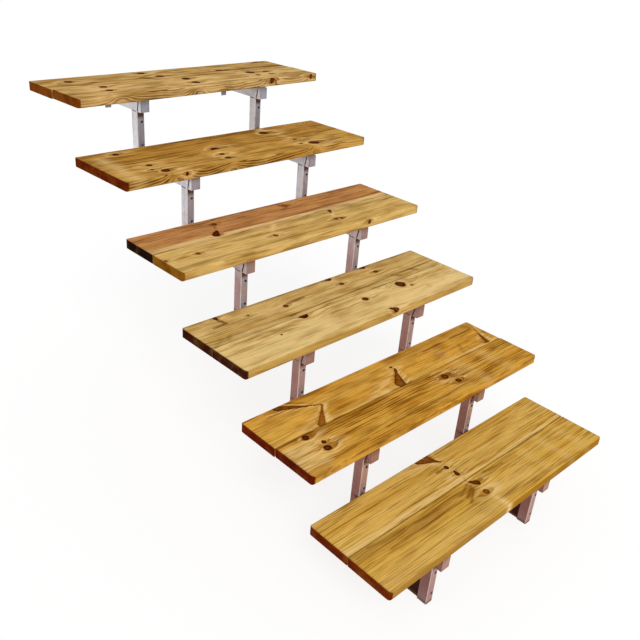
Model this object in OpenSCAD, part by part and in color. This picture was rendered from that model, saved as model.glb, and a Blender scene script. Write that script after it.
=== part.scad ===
// Outdoor staircase: six board treads on two zigzag strings of folded galvanised channel.
// Each string is a chain of equal modules. A level arm carries the tread, and a post hangs
// from its front end down to the back of the next arm. Step 1 is the lowest.
//
// Frame: +X to the right when facing up the flight, +Y uphill, +Z up. The origin lies on the
// rear face of the left fixing tab of the top step, on the tab's centre line and at the level
// of the arm's lower edge.

/* [Flight] */
// Number of steps
step_count = 6; // [2:1:6]
// Height from one tread to the next
rise = 175; // [150:1:185]
// Depth from one tread's front edge to the next
going = 275; // [270:1:300]
// Height of the lowest tread's underside above the ground
foot_h = 185; // [170:1:240]

/* [Treads] */
// Length of a tread
tread_l = 1000; // [800:10:1200]
// Width of one board
board_w = 143; // [120:1:143]
// Thickness of a board
board_t = 28; // [21:1:34]
// Gap between a tread's two boards
board_gap = 2; // [1:1:8]
// Radius of a board's eased long edges
edge_r = 4; // [2:0.5:8]
// Length of tread that hangs out to the left of the left string's centre line
overhang_left = 240; // [150:5:300]
// How far each tread lies to the right of its mean place, lowest step first
tread_shift = [20, 5, 0, -5, -10, -10]; // [-20:5:20]
// How far each tread was turned as it was screwed down, in degrees, lowest step first
tread_turn = [-0.5, -0.5, 0.5, 0.5, 1.5, 2.5]; // [-3:0.5:3]
// How far each front board's ends lie to the right of the back board's, lowest step first
front_slip = [0, 3, 0, 0, 0, 5]; // [-6:1:6]

/* [Strings] */
// Distance between the two strings' centre lines
string_gap = 484; // [300:2:600]
// Thickness of the folded sheet
sheet_t = 2.5; // [2:0.5:3]
// Outside radius of a fold
fold_r = 3.5; // [3.5:0.5:5]
// Outside width of an arm
arm_w = 32; // [30:1:50]
// Height of an arm
arm_h = 40; // [36:1:50]
// Set-back of an arm's front end from the tread's front edge
arm_front = 4; // [0:1:15]
// Length of the ears that an arm puts round the post behind it
ear_l = 15; // [8:1:20]
// Depth of a post, front to back
post_d = 31; // [28:1:40]
// Set-back of a post's front face from the tread's front edge
post_front = 31; // [28:1:45]

/* [Fixings] */
// Distance between the holes of a post
hole_pitch = 76; // [70:1:80]
// Diameter of the bolt holes
hole_d = 9; // [7:0.5:11]
// Distance of the post's holes to the right of its centre line
hole_side = 3.5; // [0:0.5:4]
// Width of the tab that an arm's rear end is folded down into
tab_w = 22; // [20:1:22]
// Length of tab that shows below the arm
tab_drop = 32; // [28:1:40]
// Distance of the top step's fixing tabs behind the tread's front edge
top_reach = 238; // [200:1:260]
// Depth of a foot's anchor shoe
shoe_l = 100; // [80:1:140]
// Height of a foot's anchor shoe
shoe_h = 70; // [60:1:90]
// Diameter of the anchor hole in a shoe's sole
anchor_d = 11; // [9:1:13]

/* [Hidden] */
$fn = 48;
SIDES = ["left", "right"];
STEPS = [1 : step_count];

tread_d = 2 * board_w + board_gap;
fold_ri = fold_r - sheet_t;
// Posts fit between an arm's cheeks, and shoes between a post's cheeks
post_w = arm_w - 2 * sheet_t;
shoe_w = post_w - 2 * sheet_t;
// Rear face of a lower arm's tab, which meets the front face of the post above it
tab_reach = going + post_front;
// In a step's own frame an arm's lower edge is at z = 0, and the boards lie on its top
tread_z = arm_h;
tread_front = -top_reach;
post_top = arm_h - sheet_t;
tab_low = -tab_drop;
// The tab's hole meets the third hole of the post behind it, which hangs from the step above
tab_hole_z = tread_z + rise - 3 * hole_pitch;
ground_z = tread_z - foot_h;
// Seam between an arm's cheeks and its folded front end: set-back, width and lean in degrees
seam_y = 12;
seam_w = 1.2;
seam_lean = 12;
anchor_y = shoe_l - 22;
eps = 0.01;

// Places its children in step n's frame: y = 0 at the top tabs' face, or below them by whole steps
module at_step(n) {
    translate([0, (n - step_count) * going, (n - step_count) * rise]) children();
}

function side_x(side) = side == "left" ? 0 : string_gap;
// Rectangle with rounded corners, its lower left corner at the origin
module rounded_rect(w, h, r) {
    translate([r, 0]) square([w - 2 * r, h]);
    translate([0, r]) square([w, h - 2 * r]);
    for (x = [r, w - r], y = [r, h - r]) translate([x, y]) circle(r);
}

// Section of folded channel: web along y = 0, cheeks running to y = depth, centred on x
module channel_2d(width, depth) {
    difference() {
        translate([-width / 2, 0]) rounded_rect(width, depth + fold_r, fold_r);
        translate([-width / 2 + sheet_t, sheet_t])
            rounded_rect(width - 2 * sheet_t, depth + 2 * fold_r, fold_ri);
        translate([-width, depth]) square([2 * width, 2 * fold_r]);
    }
}

// One board along X, from its left end at x = 0 and its front edge at y = 0
module board() {
    rotate([90, 0, 90]) linear_extrude(tread_l) rounded_rect(board_w, board_t, edge_r);
}

// Places a board of step n, y0 behind the tread's front edge and slipped to the right
module tread_board(n, y0, slip) {
    at_step(n)
        translate([tread_l / 2 - overhang_left + tread_shift[n - 1], tread_front + tread_d / 2, tread_z])
            rotate(tread_turn[n - 1])
                translate([slip - tread_l / 2, y0 - tread_d / 2, 0]) board();
}

module front_board(n) {
    color("#c99a52") tread_board(n, 0, front_slip[n - 1]);
}

module back_board(n) {
    color(n == 4 ? "#b97a4c" : "#c2914a") tread_board(n, board_w + board_gap, 0);
}

// Bolt hole along Y through sheet that ends at y
module hole_y(x, y, z) {
    translate([x, y - sheet_t - 1, z]) rotate([-90, 0, 0]) cylinder(h = sheet_t + 2, d = hole_d);
}

// Slanted slot that parts the folded front end from both cheeks
module front_seam() {
    translate([-arm_w, tread_front + arm_front + seam_y, arm_h - fold_r - seam_w])
        rotate([seam_lean, 0, 0])
            translate([0, 0, -2 * arm_h]) cube([2 * arm_w, seam_w, 2 * arm_h]);
}

// Arm: channel open below, closed in front, with a bored tab folded down at its rear end
module arm(side, n) {
    is_top = n == step_count;
    reach = is_top ? top_reach : tab_reach;
    ears = is_top ? 0 : ear_l;
    length = reach - arm_front;
    color("#b9b6b8") at_step(n) translate([side_x(side), 0, 0]) {
        difference() {
            union() {
                translate([0, tread_front + reach, arm_h])
                    rotate([90, 0, 0]) mirror([0, 1, 0]) linear_extrude(length) channel_2d(arm_w, arm_h);
                for (x = [-arm_w / 2, arm_w / 2 - sheet_t])
                    translate([x, tread_front + reach - eps, 0])
                        cube([sheet_t, ears + eps, arm_h - fold_r]);
                translate([-arm_w / 2 + sheet_t, tread_front + arm_front, 0])
                    cube([post_w, sheet_t, post_top]);
                translate([-tab_w / 2, tread_front + reach - sheet_t, tab_low])
                    cube([tab_w, sheet_t, post_top - tab_low]);
            }
            front_seam();
            hole_y(hole_side, tread_front + reach, tab_hole_z);
        }
    }
}

// Post: channel open behind, hanging inside the arm's front end, down past the next arm's tab
module post(side, n) {
    is_foot = n == 1;
    low = is_foot ? ground_z : tab_low - rise;
    holes = is_foot ? 2 : 3;
    color("#a99ca0") at_step(n)
        translate([side_x(side), tread_front + post_front, 0]) difference() {
            translate([0, 0, low]) linear_extrude(post_top - low) channel_2d(post_w, post_d);
            for (i = [1 : holes]) hole_y(hole_side, sheet_t, tread_z - i * hole_pitch);
        }
}

// Anchor shoe: folded channel on its back inside the foot, with an anchor hole in its sole
module shoe(side) {
    color("#4a3a36") at_step(1)
        translate([side_x(side), tread_front + post_front + sheet_t, ground_z]) difference() {
            translate([0, shoe_l, 0])
                rotate([90, 0, 0]) linear_extrude(shoe_l) channel_2d(shoe_w, shoe_h);
            translate([0, anchor_y, -1]) cylinder(h = sheet_t + 2, d = anchor_d);
        }
}

for (n = STEPS) {
    front_board(n);
    back_board(n);
}
for (s = SIDES, n = STEPS) {
    arm(s, n);
    post(s, n);
}
for (s = SIDES) {
    shoe(s);
}
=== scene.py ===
# %% [markdown]
# # A garden staircase of planks on two steel strings
#
# Six treads, each of two planed pine boards, lie on two zigzag strings. A string is a chain of
# folded sheet-steel channels: a level arm under each tread, and a post that hangs from the arm's
# front end down to the back of the next arm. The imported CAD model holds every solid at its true
# size. This script gives it its looks: boards with growth rings and knots, weathered zinc on the
# steel, and the small fixings that hold the stair together.

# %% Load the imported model
import math

import bpy
import numpy as np
from mathutils import Matrix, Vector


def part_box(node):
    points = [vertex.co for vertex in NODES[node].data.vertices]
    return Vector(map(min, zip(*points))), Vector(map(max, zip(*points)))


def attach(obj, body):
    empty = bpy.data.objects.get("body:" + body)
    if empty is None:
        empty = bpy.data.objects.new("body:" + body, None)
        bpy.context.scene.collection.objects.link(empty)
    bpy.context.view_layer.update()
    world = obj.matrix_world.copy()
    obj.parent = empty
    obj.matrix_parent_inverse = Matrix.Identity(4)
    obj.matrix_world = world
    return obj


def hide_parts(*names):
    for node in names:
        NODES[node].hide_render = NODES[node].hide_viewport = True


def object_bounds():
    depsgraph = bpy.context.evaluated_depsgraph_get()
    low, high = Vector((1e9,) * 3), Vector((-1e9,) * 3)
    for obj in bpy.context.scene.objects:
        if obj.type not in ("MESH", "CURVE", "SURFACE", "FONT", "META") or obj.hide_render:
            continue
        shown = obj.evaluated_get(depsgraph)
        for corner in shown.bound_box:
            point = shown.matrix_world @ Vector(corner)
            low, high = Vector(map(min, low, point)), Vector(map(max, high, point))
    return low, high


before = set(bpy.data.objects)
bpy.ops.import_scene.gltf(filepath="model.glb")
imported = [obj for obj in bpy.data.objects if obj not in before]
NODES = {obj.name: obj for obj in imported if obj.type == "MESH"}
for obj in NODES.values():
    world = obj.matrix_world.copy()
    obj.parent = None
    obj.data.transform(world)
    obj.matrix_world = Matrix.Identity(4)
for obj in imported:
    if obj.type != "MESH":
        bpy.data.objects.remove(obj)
cad_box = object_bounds()
STEPS = range(1, 7)
SIDES = ("left", "right")
MM = 0.001
print(len(NODES), "CAD nodes, box", [tuple(round(v, 3) for v in c) for c in cad_box])

# %% [markdown]
# ## The camera
#
# The stair is seen from its lower left, from a little above the top tread. A camera in Blender
# looks along its own -Z, with its +Y upwards. Its place is kept as one point, two angles and a
# small roll, which are easier to read and to change than a matrix of nine numbers.

# %% Camera
EYE = (-1.281, -2.336, 0.575)
HEADING, DOWN, ROLL = (math.radians(a) for a in (45.65, 27.91, 4.82))
LENS_MM, SENSOR_MM = 42.18, 36.0


def camera_axes(heading, down, roll):
    """Columns right, up and back of a view turned from +Y towards +X, tipped down, then rolled."""
    level = math.cos(down)
    ahead = np.array([math.sin(heading) * level, math.cos(heading) * level, -math.sin(down)])
    right = np.array([math.cos(heading), -math.sin(heading), 0.0])
    up = np.cross(right, ahead)
    turned_right = math.cos(roll) * right + math.sin(roll) * up
    turned_up = math.cos(roll) * up - math.sin(roll) * right
    return np.column_stack([turned_right, turned_up, -ahead])


camera_data = bpy.data.cameras.new("view")
camera_data.lens = LENS_MM
camera_data.sensor_width = SENSOR_MM
camera = bpy.data.objects.new("view", camera_data)
pose = Matrix(camera_axes(HEADING, DOWN, ROLL).tolist()).to_4x4()
pose.translation = EYE
camera.matrix_world = pose
bpy.context.scene.collection.objects.link(camera)
bpy.context.scene.camera = camera
print("camera at", EYE, "lens", LENS_MM, "mm")

# %% [markdown]
# ## Where each board lies
#
# The CAD boards are plain solids with eased edges, and each tread was turned a little as it was
# screwed down. Their true places are read from the solids themselves: the four corners of a
# board's flat top give its front left corner and its two directions.

# %% Measure the boards
BOARD_W, BOARD_T, EDGE_R, JOINT_GAP = 143.0, 28.0, 4.0, 2.0
BACK_Y = BOARD_W + JOINT_GAP
BOARDS = [(n, b) for n in STEPS for b in ("front", "back")]


def board_axes(name):
    """Front left lower corner and unit vectors along the length and the width, in metres, then
    the board's length in mm."""
    mesh = NODES[name].data
    points = np.empty(len(mesh.vertices) * 3, np.float32)
    mesh.vertices.foreach_get("co", points)
    points = points.reshape(-1, 3).astype(float)
    top = np.unique(points[points[:, 2] > points[:, 2].max() - 1e-5].round(6), axis=0)
    by_x = top[np.argsort(top[:, 0])]
    left, right = (pair[np.argsort(pair[:, 1])] for pair in (by_x[:2], by_x[-2:]))
    along = (right[0] - left[0]) / np.linalg.norm(right[0] - left[0])
    across = np.array([-along[1], along[0], 0.0])
    corner = left[0] - across * EDGE_R * MM - np.array([0, 0, BOARD_T * MM])
    return corner, along, across, np.linalg.norm(right[0] - left[0]) / MM


placed = {(n, b): board_axes(f"step_{n}_{b}_board") for n, b in BOARDS}
BOARD_L = placed[1, "front"][3]
print("boards are", round(BOARD_L, 1), "mm long; step 6 is turned by",
      round(math.degrees(math.asin(placed[6, "front"][1][1])), 2), "degrees")

# %% [markdown]
# ## The log inside each board
#
# A real board looks as it does because it was cut out of a log. The rings are cones round the
# pith, so a face that lies along them shows wide pointed arches, an edge shows near straight
# lines, and an end shows arcs, all of one pattern. So each board gets a log of its own: where
# the pith runs, how wide a year's ring is, and how thick the red heartwood is.
#
# Pine grows its branches in whorls, so knots come in rows across a tread about a foot apart. A
# knot is a cone that starts at the pith and comes out through the face. Where the branch runs
# in the plane of the face, it shows as a long spike.

# %% Logs
# Pith beside and above the board's lower front corner, ring width, taper per mm, heart radius
LOGS = {
    (1, "front"): (235, -60, 6.4, 0.004, 0),
    (1, "back"): (-70, -60, 6.2, 0.003, 0),
    (2, "front"): (215, -25, 7.4, 0.004, 0),
    (2, "back"): (55, -60, 7.6, 0.012, 0),
    (3, "front"): (150, -70, 6.6, 0.008, 0),
    (3, "back"): (-20, -60, 6.4, 0.006, 0),
    (4, "front"): (190, -60, 7.2, 0.006, 0),
    (4, "back"): (150, -60, 5.6, 0.008, 158),
    (5, "front"): (62, -34, 5.0, 0.012, 0),
    (5, "back"): (-30, -60, 7.0, 0.008, 0),
    (6, "front"): (48, -30, 5.2, 0.014, 0),
    (6, "back"): (40, -75, 7.4, 0.010, 0),
}

# %% [markdown]
# Each knot below is placed on its tread, in millimetres: how far from the left end and from the
# front edge it comes out, its radius, and how far the branch has run to the right, back and up
# since the pith. The last number is how dark it is: a dead branch leaves a nearly black knot,
# and a live one a red-brown one. A darkness of -1 stands for a branch that ended inside, where
# the rings only bulge over it in an eye.

# %% Knots
KNOTS = {
    1: [(430, 284, 12, -54, 42, 3, 0.25), (462, 288, 10, -20, 46, 3, 0.2), (478, 214, 7, 18, 8, 40, 0.8),
        (480, 176, 7, -6, -28, 5, 0.8), (496, 115, 9, 34, -32, 6, 0.7), (485, 76, 9, 4, -8, 70, 0.3)],
    2: [(118, 280, 10, -117, 60, 2, 0.35), (172, 150, 11, -65, -68, 2, 0.05),
        (550, 238, 4, 3, 5, 60, 0.8), (503, 158, 17, -50, -66, 4, 0.25),
        (943, 156, 7, -40, -92, 2, 0.35), (94, 131, 10, 30, 8, 24, 0.8), (119, 89, 7, 4, -6, 60, 0.7),
        (111, 65, 11, 22, 8, 30, 0.7), (644, 101, 12, 16, 6, 50, 0.5), (662, 62, 9, 4, -12, 60, 0.7),
        (530, -30, 15, 4, -60, 22, -1), (78, -30, 14, -3, -60, 24, -1)],
    3: [(110, 278, 6, 2, 40, 10, 0.7), (200, 237, 4, 2, 4, 60, 0.4), (331, 218, 8, 24, 4, 40, 0.4),
        (584, 231, 8, 6, 4, 60, 0.35), (570, 282, 12, 3, 18, 50, 0.7), (735, 282, 11, 3, 18, 50, 0.9),
        (750, 232, 8, 8, 4, 50, 0.4), (328, 143, 17, 16, 4, 40, 1.0), (566, 108, 10, 24, 4, 30, 0.7),
        (744, 115, 18, 14, 8, 50, 0.7), (772, 90, 6, 6, 3, 60, 0.1), (594, 3, 11, 30, -34, 16, 0.6),
        (203, 92, 3.5, 2, 2, 60, 0.8)],
    4: [(287, 243, 8, 10, 8, 60, 0.5), (239, 168, 12, -40, -50, 10, 0.95),
        (592, 255, 10, 30, 16, 40, 0.15), (112, 84, 7, 16, 4, 50, 0.3), (389, 67, 9, 8, -6, 60, 0.25),
        (653, 68, 8, 6, -6, 60, 0.2), (674, 63, 7, 8, -6, 60, 0.4), (690, 138, 6, 24, 40, 4, 0.6),
        (8, 89, 5, 4, 3, 60, 0.5), (745, -10, 8, 4, -40, 34, 0.5)],
    5: [(119, 251, 10, 16, 8, 50, 0.9), (709, 229, 15, 50, 6, 36, 0.65), (425, 147, 16, 20, -6, 40, 1.0),
        (411, 93, 9, 8, 5, 60, 0.85), (404, 52, 9, 30, -4, 40, 0.75), (146, 107, 9, 8, 6, 60, 0.75),
        (130, 67, 6, 2, 3, 60, 0.7), (159, 39, 12, 30, -6, 36, 0.85), (747, 109, 8, 6, 5, 60, 0.65),
        (731, 59, 6, 4, -3, 60, 0.8), (782, 44, 16, 50, -18, 36, 0.95), (209, -14, 7, 5, -50, 30, 0.9),
        (385, -40, 13, 3, -60, 26, -1), (185, -30, 16, -3, -60, 24, -1), (745, -30, 15, 6, -60, 18, -1)],
    6: [(103, 226, 13, 16, -6, 50, 0.7), (393, 256, 13, 10, 20, 50, 0.9),
        (426, 188, 13, 52, -8, 34, 0.8), (690, 196, 13, 34, -6, 40, 0.65),
        (156, 117, 12, 9, 12, 50, 0.9), (147, 69, 11, 9, -5, 50, 0.7), (479, 120, 15, 6, 22, 50, 1.0),
        (472, 58, 14, 12, -6, 50, 0.9), (768, 119, 16, 16, 6, 46, 0.85), (766, 72, 10, 4, -4, 60, 0.5),
        (838, 113, 11, 9, 5, 60, 0.45), (828, 72, 8, 4, -4, 60, 0.3), (934, 279, 15, 16, 14, 50, 0.9),
        (770, -10, 12, 6, -50, 36, 0.6), (968, -12, 10, 6, -50, 36, 0.5), (150, -30, 15, 3, -60, 24, -1),
        (440, -40, 14, -3, -60, 26, -1)],
}
print(sum(len(k) for k in KNOTS.values()), "knots")

# %% [markdown]
# Boards also carry soft streaks: resin-rich dark bands, pale sapwood strips, and thin lines where
# the surface has begun to split. Most run along the tread. A few cross it at a whorl of knots,
# where the grain dives, and on treads 1 and 2 pale bands cross the right ends about 100 mm apart.
# Each is a line from one point to another, with a half width and a power that is above 0 for dark
# and below 0 for pale. A split in a board has the two places where it starts and stops, its
# distance from the board's front edge, and its depth.

# %% Streaks and splits
WHORL_REACH, WHORL_PALE, WHORL_HALF_W = 70.0, 0.4, 7.0
STREAKS = {
    1: [(0, 156, 470, 156, 8, -1.3), (490, 152, 1000, 154, 4, -1.2), (20, 122, 470, 112, 20, 0.5),
        (520, 128, 1000, 132, 8, 0.3), (300, 200, 1000, 165, 9, 0.15), (413, 284, 466, 238, 5, -0.9),
        (60, 136, 230, 122, 4, 0.7), (230, 122, 425, 118, 4, 0.8), (104, 98, 400, 95, 4, 0.7),
        (125, 82, 320, 82, 4, 0.4), (205, 168, 380, 168, 4, 0.5), (412, 72, 464, 106, 4, 0.9),
        (420, 90, 470, 118, 4, 0.8), (410, 112, 466, 130, 4, 0.7), (545, 133, 630, 126, 4, 0.8),
        (505, 118, 695, 119, 4, 0.4), (0, 20, 460, 20, 24, -0.3), (510, 62, 660, 62, 30, -0.3),
        (486, 60, 489, 40, 7, -0.5), (490, 22, 492, 0, 13, -0.9), (435, 215, 470, 214, 4, 1.0),
        (728, 14, 728, 132, 20, -0.25), (822, 14, 822, 132, 20, -0.3), (916, 14, 916, 132, 20, -0.25)],
    2: [(0, 152, 560, 152, 5, -0.5), (130, 138, 600, 132, 8, 0.5), (20, 108, 72, 100, 22, -0.8),
        (20, 50, 70, 50, 32, -0.9), (0, 141, 125, 141, 4, 1.0), (100, 21, 225, 28, 4, 0.7),
        (308, 33, 700, 36, 4, 0.8), (775, 42, 990, 40, 4, 0.6), (708, 243, 800, 244, 4, 1.0),
        (850, 244, 970, 246, 4, 1.0), (156, 286, 236, 226, 4, 1.0), (956, 272, 976, 254, 12, 0.5),
        (820, 164, 848, 204, 7, 0.5), (930, 154, 957, 155, 4, 1.0), (720, 151, 1000, 151, 4, -0.8),
        (560, 262, 1000, 268, 16, 0.45), (192, 152, 246, 214, 5, -0.8), (130, 292, 244, 226, 4, -0.7),
        (524, 152, 560, 232, 5, -0.8), (955, 152, 992, 240, 4, -0.6), (745, 12, 745, 132, 24, -0.3),
        (862, 12, 862, 132, 24, -0.3), (745, 160, 745, 240, 24, -0.2)],
    3: [(80, 172, 310, 163, 9, 0.5), (300, 160, 600, 170, 5, 0.9), (600, 170, 1000, 184, 5, 0.9),
        (12, 146, 48, 166, 9, 0.5), (66, 158, 78, 170, 7, 0.5), (110, 288, 112, 258, 5, 1.4),
        (112, 258, 118, 238, 5, 1.2), (76, 232, 118, 237, 5, 1.4), (0, 50, 1000, 40, 40, -0.5),
        (620, 34, 940, 56, 34, -0.6), (0, 284, 1000, 284, 8, 0.6), (345, 224, 412, 231, 5, 1.6),
        (600, 260, 1000, 255, 14, 0.3), (778, 178, 798, 163, 7, 0.9), (866, 178, 884, 162, 7, 0.9),
        (815, 56, 818, 46, 10, 0.7), (900, 56, 903, 46, 10, 0.7), (200, 118, 330, 128, 8, 0.35),
        (445, 128, 560, 124, 9, 0.3), (60, 262, 112, 255, 7, 0.5)],
    4: [(0, 163, 230, 163, 11, -0.9), (270, 163, 500, 158, 6, -1.2), (500, 158, 1000, 165, 6, -1.2),
        (270, 175, 500, 171, 4, 0.8), (500, 171, 700, 178, 4, 0.9), (700, 178, 1000, 181, 4, 1.0),
        (240, 134, 420, 132, 8, 0.45), (450, 132, 650, 128, 9, 0.5), (660, 125, 1000, 118, 9, 0.4),
        (446, 143, 404, 103, 7, -0.8), (688, 128, 667, 92, 6, -0.7), (266, 206, 286, 240, 5, 0.6),
        (575, 266, 608, 250, 5, 0.8), (608, 250, 560, 222, 5, 0.6), (0, 26, 640, 32, 5, 0.5),
        (115, 84, 230, 82, 3, 0.5)],
    5: [(300, 274, 680, 276, 12, 0.5), (45, 20, 52, 230, 24, -0.7), (160, 50, 600, 46, 5, 0.7),
        (800, 50, 925, 46, 5, 0.8), (727, 288, 727, 254, 13, -0.9), (735, 205, 745, 130, 16, -0.5),
        (500, 150, 1000, 156, 8, 0.25), (0, 258, 110, 258, 6, 0.4)],
    6: [(700, 188, 1000, 190, 12, 1.2), (430, 184, 700, 189, 8, 0.7), (60, 186, 430, 184, 7, 0.5),
        (0, 140, 1000, 140, 4, -0.5)],
}
SPLITS = {
    (2, "front"): [(110, 720, 31, 0.5)],
    (2, "back"): [(700, 978, 98, 0.8), (0, 120, 22, 1.4)],
    (3, "back"): [(345, 415, 80, 0.7), (940, 1000, 60, 1.2)],
    (4, "front"): [(115, 230, 84, 0.5)],
    (4, "back"): [(0, 60, 100, 1.2)],
    (5, "front"): [(940, 1000, 88, 1.4), (165, 300, 38, 0.5)],
    (6, "front"): [(0, 45, 62, 1.2)],
    (1, "front"): [(505, 760, 118, 0.5), (955, 1000, 40, 1.4)],
}


def near_line(points, x0, y0, x1, y1, half_width):
    """1 on the line and 0 beyond it: a bell curve of the distance to the nearest point of the
    line, which sways by a millimetre or two as grain does."""
    sway = 1.5 * np.sin(points[:, 0] / 47 + y0)
    place = np.column_stack([points[:, 0], points[:, 1] + sway])
    start, run = np.array([x0, y0], float), np.array([x1 - x0, y1 - y0], float)
    share = np.clip((place - start) @ run / (run @ run), 0, 1)
    distance = np.linalg.norm(place - start - share[:, None] * run, axis=1)
    return np.exp(-((distance / half_width) ** 2))


def streaks_on(step, points):
    """The sum of a tread's streaks at points of the tread, kept between -1 and 1. Two knots that
    follow one another in the list and lie within a whorl's reach have a pale line between."""
    streak = sum(near_line(points, *line) * power for *line, power in STREAKS[step])
    for (x0, y0, *_), (x1, y1, *_) in zip(KNOTS[step], KNOTS[step][1:]):
        if math.dist((x0, y0), (x1, y1)) < WHORL_REACH:
            streak = streak - WHORL_PALE * near_line(points, x0, y0, x1, y1, WHORL_HALF_W)
    return np.clip(streak, -1, 1)


print(sum(len(s) for s in STREAKS.values()), "streaks,", sum(len(s) for s in SPLITS.values()), "splits")

# %% [markdown]
# ## Working out the grain
#
# For each point of a board the log gives its distance from the pith, and so which year it grew
# in. Round a knot the fibres part as water does round a post, so a point's place across the
# grain is pulled back towards the branch by the square of how near it is. The rings also climb
# a little up the branch, which closes them into eyes. All of this is stored on the mesh points,
# and the material draws the fine lines from it.

# %% Growth of the wood
FLOW_STRETCH = np.array([2.4, 1, 1])
FAR_FROM_KNOTS, KNOT_CLIMB, EYE_RISE, HEART_FADE = 9.0, 1.2, 0.9, 5.0


def meander(x, seed, sizes):
    """A slow wander along the trunk: a sum of sine waves of given height and wavelength."""
    phase = np.random.default_rng(seed).uniform(0, 2 * math.pi, len(sizes))
    return sum(h * np.sin(2 * math.pi * x / length + a) for (h, length), a in zip(sizes, phase))


def from_branch(points, knot):
    """For each point, the way to it from the nearest point of the branch's middle line, and the
    branch's radius there, which grows from three tenths at the pith to its full size."""
    knot_x, knot_y, size, *run, _ = knot
    branch = np.array(run, float)
    length = np.linalg.norm(branch)
    root = np.array([knot_x, knot_y, BOARD_T]) - branch
    travel = np.clip((points - root) @ branch / length, 0, length)
    return points - root - travel[:, None] * branch / length, size * np.clip(travel / length, 0.3, 1.0)


def grow(points, log, knots, seed):
    """What the log says, by name, at points in mm in a board's own frame. Year is the distance
    from the pith, less the trunk's taper and the climb up each branch, over the ring width.
    Fibre is the place along and across the fibres. Knot and flow are the distance from the
    nearest knot in its own radii, for flow with the grain's direction shortened, and knot_dark
    is that knot's darkness. Heart is 1 in the heartwood. The climb falls off exponentially
    outside a knot, and over a branch that ended inside it is a bell curve."""
    pith_y, pith_z, ring_w, taper, heart_r = log
    x, fibre = points[:, 0], points.copy()
    nearest, flow = np.full(len(x), FAR_FROM_KNOTS), np.full(len(x), FAR_FROM_KNOTS)
    dark, climb = np.zeros(len(x)), np.zeros(len(x))
    for knot in knots:
        size, darkness = knot[2], knot[-1]
        off, radius = from_branch(points, knot)
        shortened = np.linalg.norm(off / FLOW_STRETCH, axis=1)
        if darkness < 0:
            climb = np.maximum(climb, EYE_RISE * size * np.exp(-((shortened / size) ** 2)))
            continue
        distance = np.linalg.norm(off, axis=1) / radius
        parted = np.maximum(shortened / radius, 1.0)
        fibre[:, 1:] -= off[:, 1:] / parted[:, None] ** 2
        climb = np.maximum(climb, KNOT_CLIMB * radius * np.exp(1.0 - parted))
        dark = np.where(distance < nearest, darkness, dark)
        nearest, flow = np.minimum(nearest, distance), np.minimum(flow, parted)
    away_y = fibre[:, 1] - pith_y + meander(x, seed, [(3.0, 620), (1.4, 270), (0.7, 110)])
    away_z = fibre[:, 2] - pith_z + meander(x, seed + 50, [(2.5, 540), (1.2, 230), (0.6, 90)])
    from_pith = np.hypot(away_y, away_z)
    year = (from_pith - taper * x - climb) / ring_w
    heart = np.clip((heart_r - from_pith) / HEART_FADE + 0.5, 0, 1)
    return {"year": year, "fibre": fibre, "knot": nearest, "flow": flow, "knot_dark": dark, "heart": heart}


middle_top = np.array([[BOARD_L / 2, BOARD_W / 2, BOARD_T]])
print("rings out from the pith in the middle of each board:",
      [int(grow(middle_top, log, [], 0)["year"][0]) for log in LOGS.values()])

# %% [markdown]
# ## A board as a block of lattice points
#
# The skin of a block of lattice points is a mesh of six grids that share their edges, so it is
# closed from the start. Grid lines stand closer near the knots, where the grain turns quickly,
# and on both sides of each split.

# %% Grid lines and skin
CELL_X, CELL_Y, FINE = 9.0, 3.0, 3.0
KNOT_REACH_X, KNOT_REACH_Y = 24, 14
END_EASE, JOINT_R = 1.5, 1.4


def quarter_turn(count):
    """Places from 0 to 1 under equal steps of a quarter circle, closest together at 0."""
    return 1 - np.cos(np.linspace(0, math.pi / 2, count))


def spread(low, high, cell, dense, reach):
    """Places from low to high every cell mm, and every FINE mm within reach of a dense one."""
    steps = np.arange(low, high, FINE)
    coarse = np.arange(len(steps)) % round(cell / FINE) == 0
    close = [abs(steps - d) < reach for d in dense]
    return np.append(steps[np.logical_or.reduce([coarse, *close])], high)


def lines_along(knots, splits):
    """Places of the grid lines along a board, with four on each eased end and one 3 mm inside
    each end of a split."""
    ends = END_EASE * quarter_turn(4)
    middle = spread(10, BOARD_L - 10, CELL_X, [knot[0] for knot in knots], KNOT_REACH_X)
    split_ends = [place for start, stop, *_ in splits for place in (start + 3, stop - 3)]
    xs = np.concatenate([ends, [5.0], middle, [BOARD_L - 5.0], BOARD_L - ends[::-1], split_ends])
    return np.unique(xs.clip(0, BOARD_L))


def lines_across(front_r, back_r, knots, splits):
    """Places of the grid lines across a board, with five round each arris and five over each
    split, where those of the plain grid make room."""
    ys = spread(EDGE_R + 1.5, BOARD_W - EDGE_R - 1.5, CELL_Y, [knot[1] for knot in knots], KNOT_REACH_Y)
    for *_, line_y, _ in splits:
        ys = np.append(ys[abs(ys - line_y) > 1.6], line_y + np.array([-1.2, -0.5, 0, 0.5, 1.2]))
    arris = quarter_turn(5)
    return np.unique(np.concatenate([front_r * arris, ys, BOARD_W - back_r * arris[::-1]]))


def block_skin(count_x, count_y, count_z):
    """Lattice indices of a block's skin and its quads, wound outwards: each of the six sides is
    a grid, and points on shared edges are the same point."""
    number = -np.ones((count_x, count_y, count_z), int)
    skin = np.ones_like(number, bool)
    skin[1:-1, 1:-1, 1:-1] = False
    number[skin] = np.arange(skin.sum())
    quads = []
    for side, flip in (
        (number[0], True), (number[-1], False), (number[:, 0], False),
        (number[:, -1], True), (number[:, :, 0], True), (number[:, :, -1], False),
    ):
        a, b, c, d = side[:-1, :-1], side[1:, :-1], side[1:, 1:], side[:-1, 1:]
        corners = (a, d, c, b) if flip else (a, b, c, d)
        quads.append(np.stack(corners, -1).reshape(-1, 4))
    return np.argwhere(skin), np.vstack(quads)


plain = len(lines_along([], [])), len(lines_across(EDGE_R, JOINT_R, [], []))
print("a board without knots has", plain[0], "grid lines along it and", plain[1], "across")

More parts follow.
